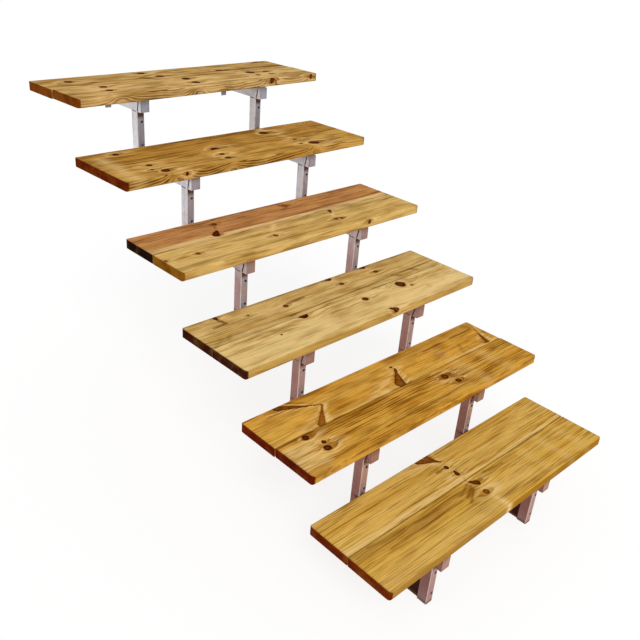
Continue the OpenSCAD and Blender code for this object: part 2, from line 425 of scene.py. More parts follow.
# %% [markdown]
# ## Planing, cupping and splitting
#
# Bending the block gives the board. Its section is a rectangle whose outer arrises are rounded
# by the planing machine, less so at the joint, and its sawn ends are eased a little. The upper
# face is hollowed by half a millimetre, because a flat-sawn board cups as it dries. Splits run
# in from a sawn end or lie in the face, and they sway a little, as the grain does.

# %% Board surface
LEVELS = np.linspace(-1, 1, 8)
CORNER_R, JOINT_DIRT = 10.0, 0.35


def half_thickness(y, front_r, back_r):
    """Half of the section's height at y: constant, less a quarter circle near either edge."""
    front, back = np.clip(front_r - y, 0, None), np.clip(back_r - (BOARD_W - y), 0, None)
    rounded = np.sqrt(front_r**2 - front**2) + np.sqrt(back_r**2 - back**2)
    return BOARD_T / 2 - front_r - back_r + rounded


def planed_block(place, radii, xs, ys):
    """Points in mm of a board as it was planed, its quads, each point's level from -1 on the
    underside to 1 on top, and its distance from the nearer sawn end. The section shrinks by a
    quarter circle over the last END_EASE mm, and the tread's corners are rounded by CORNER_R in
    plan."""
    cells, quads = block_skin(len(xs), len(ys), len(LEVELS))
    x, y, level = xs[cells[:, 0]], ys[cells[:, 1]], LEVELS[cells[:, 2]]
    from_end = np.minimum(x, BOARD_L - x)
    inset = END_EASE - np.sqrt(END_EASE**2 - np.clip(END_EASE - from_end, 0, END_EASE) ** 2)
    z = BOARD_T / 2 + level * (half_thickness(y, *radii) - inset)
    y = BOARD_W / 2 + (y - BOARD_W / 2) * (1 - inset / (BOARD_W / 2))
    beside = np.clip(CORNER_R - (y if place == "front" else BOARD_W - y), 0, CORNER_R)
    cut = (CORNER_R - np.sqrt(CORNER_R**2 - beside**2)) * np.clip(1 - from_end / 12, 0, 1)
    x = x + cut * np.sign(BOARD_L / 2 - x)
    return np.column_stack([x, y, z]), quads, level, from_end


def cupped_by(planed, level, seed):
    """How far each point has sunk: on the upper face two tenths of a millimetre at the edges and
    half a millimetre more in the middle, with a slow wave along the board, and nothing at the
    left sawn end."""
    x, y, _ = planed.T
    across = np.clip(1 - ((y - BOARD_W / 2) / (BOARD_W / 2)) ** 2, 0, 1)
    wave = meander(x, seed + 9, [(0.12, 380), (0.08, 170)])
    return (0.5 * across + 0.2 + wave) * np.clip(level, 0, 1) ** 4 * np.clip(x / 9, 0, 1)


def split_open(planed, radii, level, splits):
    """Each point's y, swayed near a split, and its depth inside one. A split is deepest at a sawn
    end, or half-way where it has none, and closes as the square of the distance from there."""
    x, planed_y, _ = planed.T
    y, gape = planed_y, np.zeros(len(x))
    between_arrises = half_thickness(planed_y, *radii) > BOARD_T / 2 - 0.01
    for start, stop, line_y, depth in splits:
        run = np.clip((x - start) / (stop - start), 0, 1)
        closing = run if start <= 0 else 1 - run if stop >= BOARD_L else abs(2 * run - 1)
        gape = np.maximum(gape, depth * (1 - closing**2) * (abs(y - line_y) < 0.3) * (level > 0.99))
        sway = 1.2 * np.sin(x / 23 + line_y) * np.exp(-(((planed_y - line_y) / 8) ** 2))
        y = y + sway * between_arrises
    return y, gape


def board_surface(place, knots, splits, seed):
    """Points in mm in the board's frame, their places as planed, quads, the distance from the
    nearer sawn end, and how dark the inside of a split or of the joint makes each point."""
    radii = (EDGE_R, JOINT_R) if place == "front" else (JOINT_R, EDGE_R)
    xs, ys = lines_along(knots, splits), lines_across(*radii, knots, splits)
    planed, quads, level, from_end = planed_block(place, radii, xs, ys)
    y, gape = split_open(planed, radii, level, splits)
    points = np.column_stack([planed[:, 0], y, planed[:, 2] - cupped_by(planed, level, seed) - gape])
    past_joint_arris = planed[:, 1] - BOARD_W if place == "front" else -planed[:, 1]
    into_joint = np.clip(past_joint_arris / JOINT_R + 1, 0, 1)
    return points, planed, quads, from_end, np.maximum(gape * 3, JOINT_DIRT * into_joint).clip(0, 1)


section = half_thickness(np.array([0, EDGE_R / 2, EDGE_R]), EDGE_R, JOINT_R)
print("half thickness at the front edge, on the arris and behind it:", section.round(2))

# %% [markdown]
# ## Coats and layers
#
# Colours are written as the hex values that a paint chart or a web page would give. Blender's
# shaders work in linear light, so one function converts them. Another adds a shader node, sets
# its options and its unlinked inputs, and links the rest.
#
# Oiled wood and weathered zinc both get their looks from thin colours that lie over one another,
# a stain here and a dark ring there. So a material below is a coat and a list of layers. Each
# layer has a colour and some ranges that say where it shows, and the ranges are multiplied.

# %% Colour and node helpers
def linear(hex_colour):
    """sRGB hex to linear RGBA: the dark end is divided by 12.92, the rest follows a 2.4 power."""
    srgb = np.array([int(hex_colour[i : i + 2], 16) / 255 for i in (1, 3, 5)])
    light = np.where(srgb <= 0.04045, srgb / 12.92, ((srgb + 0.055) / 1.055) ** 2.4)
    return (*light.tolist(), 1.0)


def new_material(name):
    """A node material, the tree to build in, and its Principled shader."""
    material = bpy.data.materials.new(name)
    material.use_nodes = True
    return material, material.node_tree, material.node_tree.nodes["Principled BSDF"]


def node(tree, kind, settings=None, stops=(), **inputs):
    """Adds one shader node of a kind: settings are its options, stops are the places and colours
    of its ramp, and inputs are values or sockets by input name, or by number as in0, in1 and so
    on."""
    made = tree.nodes.new("ShaderNode" + kind)
    for option, value in (settings or {}).items():
        setattr(made, option, value)
    for i, (place, colour) in enumerate(stops):
        element = made.color_ramp.elements[i] if i < 2 else made.color_ramp.elements.new(place)
        element.position, element.color = place, colour
    for key, value in inputs.items():
        by_number = key.startswith("in") and key[2:].isdigit()
        socket = made.inputs[int(key[2:]) if by_number else key.replace("_", " ")]
        if isinstance(value, bpy.types.NodeSocket):
            tree.links.new(value, socket)
        else:
            socket.default_value = value
    return made


def strength(tree, ranges):
    """One number from several. Each range is (source, low, high, at low, at high): it turns the
    source's span from low to high into the span between the last two, and all are multiplied."""
    shares = [node(tree, "MapRange", in0=source, in1=low, in2=high, in3=at_low, in4=at_high).outputs[0]
              for source, low, high, at_low, at_high in ranges]
    total = shares[0]
    for share in shares[1:]:
        total = node(tree, "Math", {"operation": "MULTIPLY"}, in0=total, in1=share).outputs[0]
    return total


def paint(tree, coat, layers, colours, value):
    """Lays thin colours over a coat, one after the other. A layer is (colour, its ranges), with
    the names of a hex colour in colours and of each range's source in value."""
    for colour, ranges in layers:
        share = strength(tree, [(value[source], *span) for source, *span in ranges])
        layer = node(tree, "Mix", {"data_type": "RGBA"}, in0=share, in6=coat, in7=linear(colours[colour]))
        coat = layer.outputs[2]
    return coat


print("#808080 is", round(linear("#808080")[0], 3), "of white in linear light")

# %% [markdown]
# ## Planed pine
#
# The boards are Scots pine, planed and then brushed with a brown-tinted oil. Each year adds a
# pale soft band and a narrow hard dark one, and the change from dark back to pale is sudden, so
# the ring profile is a saw tooth and not a wave. Some years are stronger than others, and rings
# show more clearly on some stretches of a face. End grain drinks much more oil, which makes the
# sawn ends dark and reddish. The oil sinks in and leaves an open surface that hardly shines, a
# little smoother over the hard resinous knots.
#
# Pine that is sold for planks has rings 2 to 4 mm wide, and resin canals of a fifth of a
# millimetre. Both would be lost from where the stair is seen, so rings are drawn 5 to 8 mm wide,
# and the canals as flecks of 0.7 mm.

# %% What the wood's layers read
STORED = ("year", "fibre", "knot", "flow", "knot_dark", "heart", "streak", "end", "gape",
          "tone", "rings", "lines")
# Noise per metre along the grain and across it, and its detail: 100 makes spots of about 10 mm
NOISES = {
    "wobble": ((7, 70, 70), 2), "cloud": ((2.2, 26, 26), 3), "mottle": ((9, 30, 30), 5),
    "band": ((2.4, 110, 110), 2), "thread": ((7, 240, 240), 3), "dash": ((14, 170, 170), 1),
    "pore": ((40, 1500, 1500), 2), "rag": ((90, 90, 90), 3),
}
# Place in the year and hardness of the wood, from one winter to the next
RING_PROFILE = [(0.0, 0.5), (0.07, 0.0), (0.42, 0.06), (0.62, 0.55), (0.8, 1.0), (0.97, 1.0)]


def read_board(tree):
    """Sockets of the numbers that are stored on the board, and of noises along its fibres."""
    stored = {key: node(tree, "Attribute", {"attribute_name": key}).outputs for key in STORED}
    value = {key: outputs["Fac"] for key, outputs in stored.items()}
    fibre = stored["fibre"]["Vector"]
    for key, (scale, detail) in NOISES.items():
        stretched = node(tree, "VectorMath", {"operation": "MULTIPLY"}, in0=fibre, in1=scale)
        noise = node(tree, "TexNoise", Vector=stretched.outputs[0], Scale=1.0, Detail=detail)
        value[key] = noise.outputs["Fac"]
    return value


def work_out_rings(tree, value):
    """Adds the hardness of the wood, from the part after the point of the year number, which
    wobbles; a random vigour for each year, from its whole part; and the dark late wood, which
    is both of them together, a little broken up."""
    wobbled = node(tree, "Math", {"operation": "MULTIPLY_ADD"},
                   in0=value["wobble"], in1=0.7, in2=value["year"]).outputs[0]
    saw = node(tree, "Math", {"operation": "FRACT"}, in0=wobbled)
    whole = node(tree, "Math", {"operation": "FLOOR"}, in0=wobbled)
    profile = [(place, (hard, hard, hard, 1)) for place, hard in RING_PROFILE]
    value["hard"] = node(tree, "ValToRGB", in0=saw.outputs[0], stops=profile).outputs["Color"]
    vigour = node(tree, "TexWhiteNoise", {"noise_dimensions": "1D"}, W=whole.outputs[0])
    value["vigour"] = vigour.outputs["Value"]
    value["late"] = strength(tree, [(value["hard"], 0, 1, 0, 1), (value["vigour"], 0, 1, 0.3, 1),
                                    (value["dash"], 0.3, 0.6, 0.65, 1)])


def work_out_knots(tree, value):
    """Adds the distance from a knot with a ragged outline, and the knot's own fine rings."""
    ragged = node(tree, "Math", {"operation": "MULTIPLY_ADD"},
                  in0=value["rag"], in1=0.7, in2=value["knot"])
    value["ragged"] = ragged.outputs[0]
    fine = node(tree, "Math", {"operation": "PINGPONG"}, in0=value["ragged"], in1=0.16)
    value["knot_rings"] = fine.outputs[0]


print(len(STORED), "numbers stored on each board and", len(NOISES), "noises")

# %% [markdown]
# The layers of all the boards are one list, from the wood outwards. Each board stores three
# numbers of its own for its top and its front edge: its tone, how strong its rings are, and how
# strong its fine lines are. So boards of one finish still differ, as boards from one pile do.

# %% Layers of the wood
CORE = ("ragged", 1.25, 1.42, 1, 0)
RIM = ("ragged", 0.8, 1.2, 0, 1)
DEAD = ("knot_dark", 0, 1, 0, 1)
DYING = ("knot_dark", 0, 0.6, 0.4, 1)
CALM = ("lines", 0.6, 0.75, 1, 0.4)
RINGED = ("rings", 0, 2, 0, 2)
LINED = ("lines", 0, 1, 0, 1)
PATCHY = ("mottle", 0.4, 0.6, 0.4, 1)
SAWN = ("end", 0, 1, 0, 1)
WOOD_LAYERS = [
    # Heartwood, brown clouds and patches, and greenish ones between them
    ("heartwood", [("heart", 0, 1, 0, 1)]),
    ("brown", [("cloud", 0.4, 0.64, 0, 0.6)]),
    ("brown", [("mottle", 0.45, 0.68, 0, 0.7), ("thread", 0.35, 0.6, 0.5, 1), CALM]),
    ("olive", [("cloud", 0.5, 0.34, 0, 0.4)]),
    ("olive", [("mottle", 0.44, 0.28, 0, 0.3)]),
    # The board's tone, which leans to the brown, and past 0.8 to the colour of the rings
    ("brown", [("tone", 0, 1, 0, 1)]),
    ("ring", [("tone", 0.8, 1.8, 0, 0.9)]),
    ("ring", [("mottle", 0.4, 0.7, 0.08, 0.5), ("thread", 0.35, 0.6, 0.4, 1), CALM]),
    # Growth rings, those of the strongest years once more, and broad and fine lines
    ("ring", [("late", 0, 1, 0, 1), RINGED, PATCHY]),
    ("ring", [("hard", 0.5, 1, 0, 0.6), ("vigour", 0.78, 0.82, 0, 1),
              ("rings", 0, 0.6, 0.2, 1), PATCHY]),
    ("ring", [("band", 0.54, 0.68, 0, 0.7), LINED, PATCHY]),
    ("ring", [("thread", 0.53, 0.61, 0, 0.65), LINED]),
    # Brown flames and pale grain round a knot
    ("knot_edge", [("flow", 1, 2.4, 0.5, 0), ("dash", 0.45, 0.6, 0, 1)]),
    ("pale_sap", [("flow", 3.4, 1.4, 0, 0.75), ("flow", 1.2, 1.6, 0, 1),
                  ("dash", 0.6, 0.4, 0, 1), ("heart", 0, 1, 1, 0.25)]),
    # Streaks, dark above 0 and pale below it, and resin canals
    ("ring", [("streak", 0, 1, 0, 0.85), ("dash", 0.3, 0.55, 0.6, 1)]),
    ("pale_sap", [("streak", 0, -1, 0, 0.9), ("dash", 0.66, 0.4, 0.3, 1)]),
    ("ring", [("pore", 0.62, 0.75, 0, 0.35)]),
    # The knot: its edge, live wood, the flecks, rings and rim of a dying one, dead wood and bark
    ("knot_edge", [("ragged", 1.4, 1.7, 0.7, 0)]),
    ("knot_live", [CORE, ("knot_dark", 0, 0.5, 0.7, 1)]),
    ("knot_dead", [CORE, DYING, ("dash", 0.42, 0.62, 0, 0.5)]),
    ("knot_dead", [CORE, DYING, ("knot_rings", 0.08, 0.14, 0, 0.5)]),
    ("knot_dead", [CORE, DYING, RIM]),
    ("knot_dead", [CORE, DEAD]),
    ("knot_bark", [CORE, DEAD, RIM]),
    # The sawn ends, darker and paler in patches, and the dirt in splits and in the joint
    ("end_grain", [SAWN]),
    ("knot_bark", [("end", 0, 1, 0, 0.4), ("mottle", 0.5, 0.7, 0, 1)]),
    ("brown", [("end", 0, 1, 0, 0.08), ("mottle", 0.5, 0.3, 0, 1)]),
    ("knot_bark", [("gape", 0, 1, 0, 1)]),
]
WOOD_SHARED = {"pale_sap": "#e6c484", "olive": "#a88a3c", "knot_edge": "#8a5214",
               "knot_live": "#9c5a14", "knot_dead": "#471a02", "knot_bark": "#160400"}
print(len(WOOD_LAYERS), "layers over the bare wood")

# %% [markdown]
# The seven finishes share their layers and differ in five colours: the soft early wood, the
# rings, the brown of clouds and patches, the heartwood, and the sawn ends. The oil has the index
# of refraction of most resins and varnishes, 1.5, but has soaked in so far that next to nothing
# is mirrored in it.

# %% Pine finishes
def pine(name, wood, **colours):
    """Oiled pine: the wood's colour under the layers, and a relief of a few tenths of a
    millimetre in which the fine threads and the hard late wood stand out."""
    material, tree, shader = new_material(name)
    value = read_board(tree)
    work_out_rings(tree, value)
    work_out_knots(tree, value)
    coat = paint(tree, linear(wood), WOOD_LAYERS, {**WOOD_SHARED, **colours}, value)
    tree.links.new(coat, shader.inputs["Base Color"])
    in_knot = strength(tree, [(value["ragged"], *CORE[1:])])
    dull = strength(tree, [(value["thread"], 0, 1, 0.68, 0.85)])
    satin = node(tree, "Math", {"operation": "MULTIPLY_ADD"}, in0=in_knot, in1=-0.1, in2=dull)
    tree.links.new(satin.outputs[0], shader.inputs["Roughness"])
    shader.inputs["IOR"].default_value = 1.5
    shader.inputs["Specular IOR Level"].default_value = 0.01
    relief = node(tree, "Math", {"operation": "MULTIPLY_ADD"},
                  in0=value["thread"], in1=0.5, in2=value["late"])
    bump = node(tree, "Bump", Height=relief.outputs[0], Strength=0.5, Distance=0.0004)
    tree.links.new(bump.outputs[0], shader.inputs["Normal"])
    return material


LAYER_COLOURS = ("ring", "brown", "heartwood", "end_grain")
PINES = {
    key: pine(f"oiled_pine_{name}", wood, **dict(zip(LAYER_COLOURS, others)))
    for key, name, wood, *others in (
        (1, "straw", "#f4ca70", "#703f00", "#cb9a32", "#a8713c", "#5e1802"),
        (2, "honey", "#f0b852", "#622f00", "#c0841e", "#a8713c", "#560d01"),
        (3, "pale", "#f4d796", "#70420a", "#cba250", "#b07a4c", "#300401"),
        (4, "gold", "#f0cb82", "#6a3e06", "#c59a48", "#b47c4c", "#7a4a08"),
        (5, "amber", "#e2b05e", "#4e2a00", "#b47e28", "#a8713c", "#5b1c01"),
        (6, "sand", "#eec686", "#563206", "#bb8e40", "#a8713c", "#6c3302"),
        ("red", "heartwood", "#f0d296", "#6e3a16", "#bc8850", "#d8985e", "#0c0200"),
    )
}
print(len(PINES), "pine finishes")

# %% [markdown]
# No two boards of a pile are quite alike, and a board's planed edge shows other rings than its
# face, because it cuts the log another way.

# %% Looks of each board
# For each board's upper face and then its front edge: how far its tone leans to the brown,
# how strong its growth rings are, and how strong its fine lines are
LOOKS = {
    (1, "front"): ((0.45, 0.55, 0.75), (1.4, 0.15, 0.15)), (1, "back"): ((0.2, 0.45, 0.75), (0.3, 0.5, 0.5)),
    (2, "front"): ((0.15, 0.9, 0.6), (0.15, 1.0, 0.4)), (2, "back"): ((0.0, 0.35, 0.35), (0.2, 0.6, 0.6)),
    (3, "front"): ((0.0, 0.25, 0.25), (0.9, 0.35, 0.35)), (3, "back"): ((0.3, 0.35, 0.3), (0.4, 0.5, 0.5)),
    (4, "front"): ((0.1, 0.35, 0.3), (0.2, 0.8, 0.4)), (4, "back"): ((0.1, 0.5, 0.5), (0.1, 0.6, 0.6)),
    (5, "front"): ((0.1, 0.45, 0.45), (0.0, 1.5, 0.1)), (5, "back"): ((0.4, 0.75, 0.6), (0.4, 0.6, 0.6)),
    (6, "front"): ((0.0, 0.6, 0.55), (0.0, 1.4, 0.1)), (6, "back"): ((0.4, 0.7, 0.6), (0.4, 0.6, 0.6)),
}
print(len(LOOKS), "boards have looks of their own")

# %% [markdown]
# ## From arrays to meshes
#
# Every new piece is worked out with numpy as an array of points and an array of faces. One
# helper turns the two into a smooth-shaded Blender object, in metres, in the model's own frame,
# so that nothing has to be moved afterwards. Another stores numbers on its points.

# %% Mesh helpers
def make_piece(name, points, faces, material):
    """A mesh object from points in metres and faces that wind outwards, riding on the stair."""
    mesh = bpy.data.meshes.new(name)
    mesh.from_pydata(points.tolist(), [], faces if isinstance(faces, list) else faces.tolist())
    mesh.polygons.foreach_set("use_smooth", np.ones(len(mesh.polygons), bool))
    mesh.update()
    piece = bpy.data.objects.new(name, mesh)
    bpy.context.scene.collection.objects.link(piece)
    mesh.materials.append(material)
    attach(piece, "root")
    return piece


def add_attribute(piece, name, values):
    """Stores one number, or one vector, for each point of the mesh, for a material to read."""
    kind, key = ("FLOAT", "value") if values.ndim == 1 else ("FLOAT_VECTOR", "vector")
    attribute = piece.data.attributes.new(name, kind, "POINT")
    attribute.data.foreach_set(key, values.astype(np.float32).ravel())


# %% [markdown]
# ## The twelve boards
#
# Each board's mesh is put straight into its CAD board's place and stands for it. A tread's knots
# are listed for both of its boards together, and each board picks out its own, while a streak
# may cross from one to the other. Each board reads a stretch of the noises of its own, far from
# the others'.

# %% Build the boards
NOISE_STRETCH = 1700.0


def end_darkness(from_end):
    """A bell curve that is nearly 1 on the sawn ends, so that a little of the rings still shows
    on the end grain, and falls to almost 0 within three millimetres of the length."""
    return 0.985 * np.exp(-((from_end / 1.6) ** 2))


triangles = 0
for step, place in BOARDS:
    name = f"step_{step}_{place}_board"
    is_back = place == "back"
    shift = BACK_Y if is_back else 0.0
    mine = [knot for knot in KNOTS[step] if (knot[1] > BOARD_W + JOINT_GAP / 2) == is_back]
    knots = [(x, y - shift, *rest) for x, y, *rest in mine]
    seed = 10 * step + len(place)
    splits = SPLITS.get((step, place), [])
    points, planed, quads, from_end, gape = board_surface(place, knots, splits, seed)
    corner, along, across, _ = placed[step, place]
    world = corner + MM * (points @ np.array([along, across, [0, 0, 1]]))
    finish = "red" if (step, place) == (4, "back") else step
    board = make_piece(name + "_wood", world, quads, PINES[finish])
    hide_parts(name)
    stored = grow(planed, LOGS[step, place], knots, seed)
    stored["fibre"] = (stored["fibre"] + [NOISE_STRETCH * seed, 0, 0]) * MM
    stored["streak"] = streaks_on(step, planed + [0, shift, 0])
    stored["end"], stored["gape"] = end_darkness(from_end), gape
    on_edge = planed[:, 1] < EDGE_R / 2
    for key, on_top, in_front in zip(("tone", "rings", "lines"), *LOOKS[step, place]):
        stored[key] = np.where(on_edge, in_front, on_top)
    for key, values in stored.items():
        add_attribute(board, key, values)
    triangles += 2 * len(quads)
print("boards made,", triangles, "triangles")

# %% [markdown]
# ## Galvanised steel
#
# The channels are mild steel sheet, folded and then dipped in molten zinc. As the zinc sets it
# freezes into crystals some ten millimetres across, the spangle, each with a slightly different
# gloss. Outdoors a dull mineral skin grows over it, so its metallic share is well below 1. It
# goes a soft mauve grey. Its colours by height and facing are painted light: the sides are paler
# than the fronts near the top, and lower down the steel is painted darker and browner as shade
# under the treads. Runs of stain follow the water down a post. Painted shadow darkens the arms
# under the treads, the posts under the arms, the right string's upper sides and a line at the
# ground, and the lower arms' ends get painted shade and a painted brown reflection of the boards.
# A painted highlight runs along the folds, and painted shade darkens the inside of a channel,
# which stays matt. The metal keeps the default index of refraction.

# %% What the steel's layers read
GROUND = cad_box[0][2]
STAIR_H, STRING_GAP, RISE = 1.09, 0.484, 0.175
WANDER = 0.08
# Patterns per metre: clouds 90 mm wide, runs of stain, grit of 1 mm and crystals of 10 mm
CLOUDS, RUNS, GRIT, CRYSTALS = 11.0, (160, 160, 9), 900.0, 95.0


def read_steel(tree):
    """Sockets of what a place on the steel is like: its height above the ground as a share of
    the stair's, how many metres it lies to the right of the left string and above the lower edge
    of its own arm or the next below, which way it faces, and noises for clouds 90 mm wide,
    upright runs of stain and grit of 1 mm. Level is the height, moved up or down by the clouds.
    Outward is the part of the normal that points away from the middle of its own string, so it
    is below 0 inside a channel."""
    place = node(tree, "TexCoord").outputs["Object"]
    along = node(tree, "SeparateXYZ", in0=place).outputs
    facing = node(tree, "SeparateXYZ", in0=node(tree, "NewGeometry").outputs["Normal"]).outputs
    tall = node(tree, "VectorMath", {"operation": "MULTIPLY"}, in0=place, in1=RUNS)
    shifted = node(tree, "Math", {"operation": "ADD"}, in0=along["X"], in1=STRING_GAP / 2)
    across = node(tree, "Math", {"operation": "FLOORED_MODULO"}, in0=shifted.outputs[0], in1=STRING_GAP)
    middle = STRING_GAP / 2
    right_side = strength(tree, [(across.outputs[0], middle - MM, middle + MM, -1, 1)])
    made = {
        "above_arm": node(tree, "Math", {"operation": "FLOORED_MODULO"}, in0=along["Z"], in1=RISE),
        "frontal": node(tree, "Math", {"operation": "ABSOLUTE"}, in0=facing["Y"]),
        "sideways": node(tree, "Math", {"operation": "ABSOLUTE"}, in0=facing["X"]),
        "outward": node(tree, "Math", {"operation": "MULTIPLY"}, in0=right_side, in1=facing["X"]),
        "cloud": node(tree, "TexNoise", Vector=place, Scale=CLOUDS, Detail=4.0),
        "runs": node(tree, "TexNoise", Vector=tall.outputs[0], Scale=1.0, Detail=3.0),
        "grit": node(tree, "TexNoise", Vector=place, Scale=GRIT, Detail=2.0),
    }
    value = {key: made_node.outputs[0] for key, made_node in made.items()}
    height = strength(tree, [(along["Z"], GROUND, GROUND + STAIR_H, 0, 1)])
    level = node(tree, "Math", {"operation": "MULTIPLY_ADD"}, in0=value["cloud"], in1=WANDER, in2=height)
    return {**value, "place": place, "right": along["X"], "height": height, "level": level.outputs[0]}


print("the ground lies at", round(GROUND, 3), "m")

# %% [markdown]
# The three finishes of the steel share one list of layers too. The spangle comes last, as small
# steps of brightness and gloss from one crystal to the next.

# %% Zinc and steel finishes
FRONTAL = ("frontal", 0.5, 1, 0, 1)
ON_ARM = ("above_arm", 0.04, 0.041, 1, 0)
STEEL_LAYERS = [
    # Painted shadow on the arms under the treads, and on the posts under the arms
    ("dirt", [("above_arm", 0.02, 0.04, 0, 0.6), ON_ARM]),
    ("dirt", [("above_arm", 0.148, 0.16, 0, 0.95), FRONTAL]),
    # Painted shade with a painted brown reflection of the boards on the lower arms' ends, and painted shade
    # on the right string's upper sides
    ("painted_board_bounce", [("height", 0.66, 0.86, 0.5, 0), ON_ARM, FRONTAL]),
    ("dirt", [("right", 0.3, 0.45, 0, 0.3), ("height", 0.6, 0.8, 0, 1), ("sideways", 0.5, 1, 0, 1)]),
    # Runs of stain, grit, a painted highlight on the folds, a painted contact shadow at the ground, and
    # painted shade inside
    ("stain", [("runs", 0.52, 0.75, 0, 0.3)]),
    ("stain", [("grit", 0.66, 0.74, 0, 0.4)]),
    ("fold_highlight", [("frontal", 0.25, 0.55, 0, 0.75), ("sideways", 0.25, 0.55, 0, 1),
              ("height", 0.1, 0.5, 0.45, 1)]),
    ("dirt", [("height", 0.002, 0.006, 0.7, 0)]),
    ("inside", [("outward", -0.9, -0.5, 0.95, 0)]),
]
STEEL_SHARED = {"stain": "#6b4537", "dirt": "#5c3e2a", "painted_board_bounce": "#9c5d28"}


def steel(name, sides, fronts, inside, fold_highlight, roughness, metallic):
    """Steel sheet whose colours are given as (height above the ground in m, colour) pairs, for
    the faces that look sideways and for those that look up or down the garden; the pairs are
    painted light, a shade for each face by how it is lit. The inside is painted dark as shade and
    is not metallic, and the folds get a painted highlight."""
    material, tree, shader = new_material(name)
    value = read_steel(tree)
    at_side, in_front = (
        node(tree, "ValToRGB", in0=value["level"],
             stops=[(WANDER / 2 + z / STAIR_H, linear(colour)) for z, colour in pairs]).outputs["Color"]
        for pairs in (sides, fronts)
    )
    bare = node(tree, "Mix", {"data_type": "RGBA"}, in0=value["frontal"], in6=at_side, in7=in_front)
    colours = {**STEEL_SHARED, "inside": inside, "fold_highlight": fold_highlight}
    coat = paint(tree, bare.outputs[2], STEEL_LAYERS, colours, value)
    spangle = node(tree, "TexVoronoi", {"feature": "F1"},
                   Vector=value["place"], Scale=CRYSTALS, Randomness=1.0)
    crystal = node(tree, "SeparateColor", in0=spangle.outputs["Color"]).outputs
    shade = strength(tree, [(crystal["Red"], 0, 1, 0.93, 1.05), (value["cloud"], 0.3, 0.7, 0.92, 1.06)])
    shaded = node(tree, "VectorMath", {"operation": "SCALE"}, in0=coat, Scale=shade)
    tree.links.new(shaded.outputs[0], shader.inputs["Base Color"])
    bright = strength(tree, [(value["outward"], -0.9, -0.5, 0, metallic)])
    tree.links.new(bright, shader.inputs["Metallic"])
    gloss = strength(tree, [(crystal["Green"], 0, 1, roughness - 0.06, roughness + 0.1)])
    tree.links.new(gloss, shader.inputs["Roughness"])
    shader.inputs["Specular IOR Level"].default_value = 0.1
    ripple = node(tree, "Math", {"operation": "MULTIPLY_ADD"},
                  in0=value["grit"], in1=0.3, in2=value["cloud"])
    bump = node(tree, "Bump", Height=ripple.outputs[0], Strength=0.35, Distance=0.0006)
    tree.links.new(bump.outputs[0], shader.inputs["Normal"])
    return material


# Painted light: near the top the sides are paler than the fronts, and lower down the colours are darker and
# browner as painted shade under the treads. The inside colour is painted shade, and the fold colour a
# painted highlight.
ZINC = steel(
    "galvanised_steel_spangled",
    [(0.0, "#8a6a66"), (0.07, "#7e554c"), (0.27, "#8c6158"), (0.445, "#9a726a"),
     (0.62, "#ae908d"), (0.78, "#d8d8de"), (1.0, "#e2e3e8")],
    [(0.06, "#ac8078"), (0.27, "#ccb0ae"), (0.62, "#b8b0bd"), (0.97, "#a0a3b2")],
    inside="#3a2c2a", fold_highlight="#f2eae8", roughness=0.42, metallic=0.6,
)
# The bolts paint light the same way: paler sides than fronts, painted shade inside and a painted highlight
# on the folds.
BOLT_ZINC = steel(
    "bright_plated_bolts",
    [(0.1, "#8a7a70"), (0.9, "#cfcfd2")], [(0.1, "#7a6a60"), (0.9, "#a9a6a6")],
    inside="#6a5a54", fold_highlight="#e4e2e2", roughness=0.34, metallic=0.85,
)
# Shoes and weld beads are near black-brown as painted shade: the shadow under the lowest tread, and the dark
# gaps of the seams and under the arms' edges.
DARK_AS_SHADE = [(0.0, "#2a0602"), (0.2, "#3c140c")]
SHOE_STEEL = steel(
    "dark_weathered_steel", DARK_AS_SHADE, DARK_AS_SHADE,
    inside="#2a0602", fold_highlight="#4c2418", roughness=0.8, metallic=0.0,
)
for name, part in NODES.items():
    if "_board" not in name:
        part.data.materials.clear()
        part.data.materials.append(SHOE_STEEL if "shoe" in name else ZINC)
print("zinc on", sum("arm" in n or "post" in n for n in NODES), "channels")

# %% [markdown]
# ## Bolts, nuts and timber screws
#
# An M8 bolt clamps each lower arm's bored tab to the third hole of the post behind it, with its
# head and washer in front and its nut inside the post. A six-sided head is a ring of points
# that is carried from level to level, like a turned shape with only six corners, and its top
# corners are cut back by the chamfer that every pressed head has. The treads are held from
# below by flanged timber screws, four to an arm, inside the channel.

# %% Fastener shapes
ROUND = 24


def turned(levels):
    """A closed shape round the Z axis: each (height, radius, roundness) level is a hexagon whose
    corners lie at radius, blended towards the circle through its corners by roundness."""
    angle = np.arange(ROUND) * 2 * math.pi / ROUND
    corner_share = np.cos(math.pi / 6) / np.cos((angle + math.pi / 6) % (math.pi / 3) - math.pi / 6)
    rings = []
    for height, radius, roundness in levels:
        reach = radius * (roundness + (1 - roundness) * corner_share)
        level = np.full(ROUND, height)
        rings.append(np.column_stack([reach * np.cos(angle), reach * np.sin(angle), level]))
    points = np.vstack([*rings, [[0, 0, levels[0][0]]], [[0, 0, levels[-1][0]]]])
    pairs = [(i, (i + 1) % ROUND) for i in range(ROUND)]
    faces = [[low + i, low + j, low + ROUND + j, low + ROUND + i]
             for low in range(0, ROUND * (len(levels) - 1), ROUND) for i, j in pairs]
    foot, last = ROUND * len(levels), ROUND * (len(levels) - 1)
    faces += [[foot, j, i] for i, j in pairs] + [[foot + 1, last + i, last + j] for i, j in pairs]
    return points, faces


def hexagon(low, high, flats):
    """A six-sided head from low to high, flats wide, with its arrises chamfered."""
    corner = flats / math.cos(math.pi / 6) / 2
    cut = 0.09 * flats
    return turned([(low, corner - cut, 0.9), (low + cut * 0.5, corner, 0.0),
                   (high - cut * 0.6, corner, 0.0), (high, flats / 2 * 0.93, 1.0)])


def disc(low, high, radius, edge=0.3):
    """A washer, flange or shank: a drum whose two arrises are eased by edge."""
    return turned([(low, radius - edge, 1.0), (low + edge, radius, 1.0),
                   (high - edge, radius, 1.0), (high, radius - edge, 1.0)])


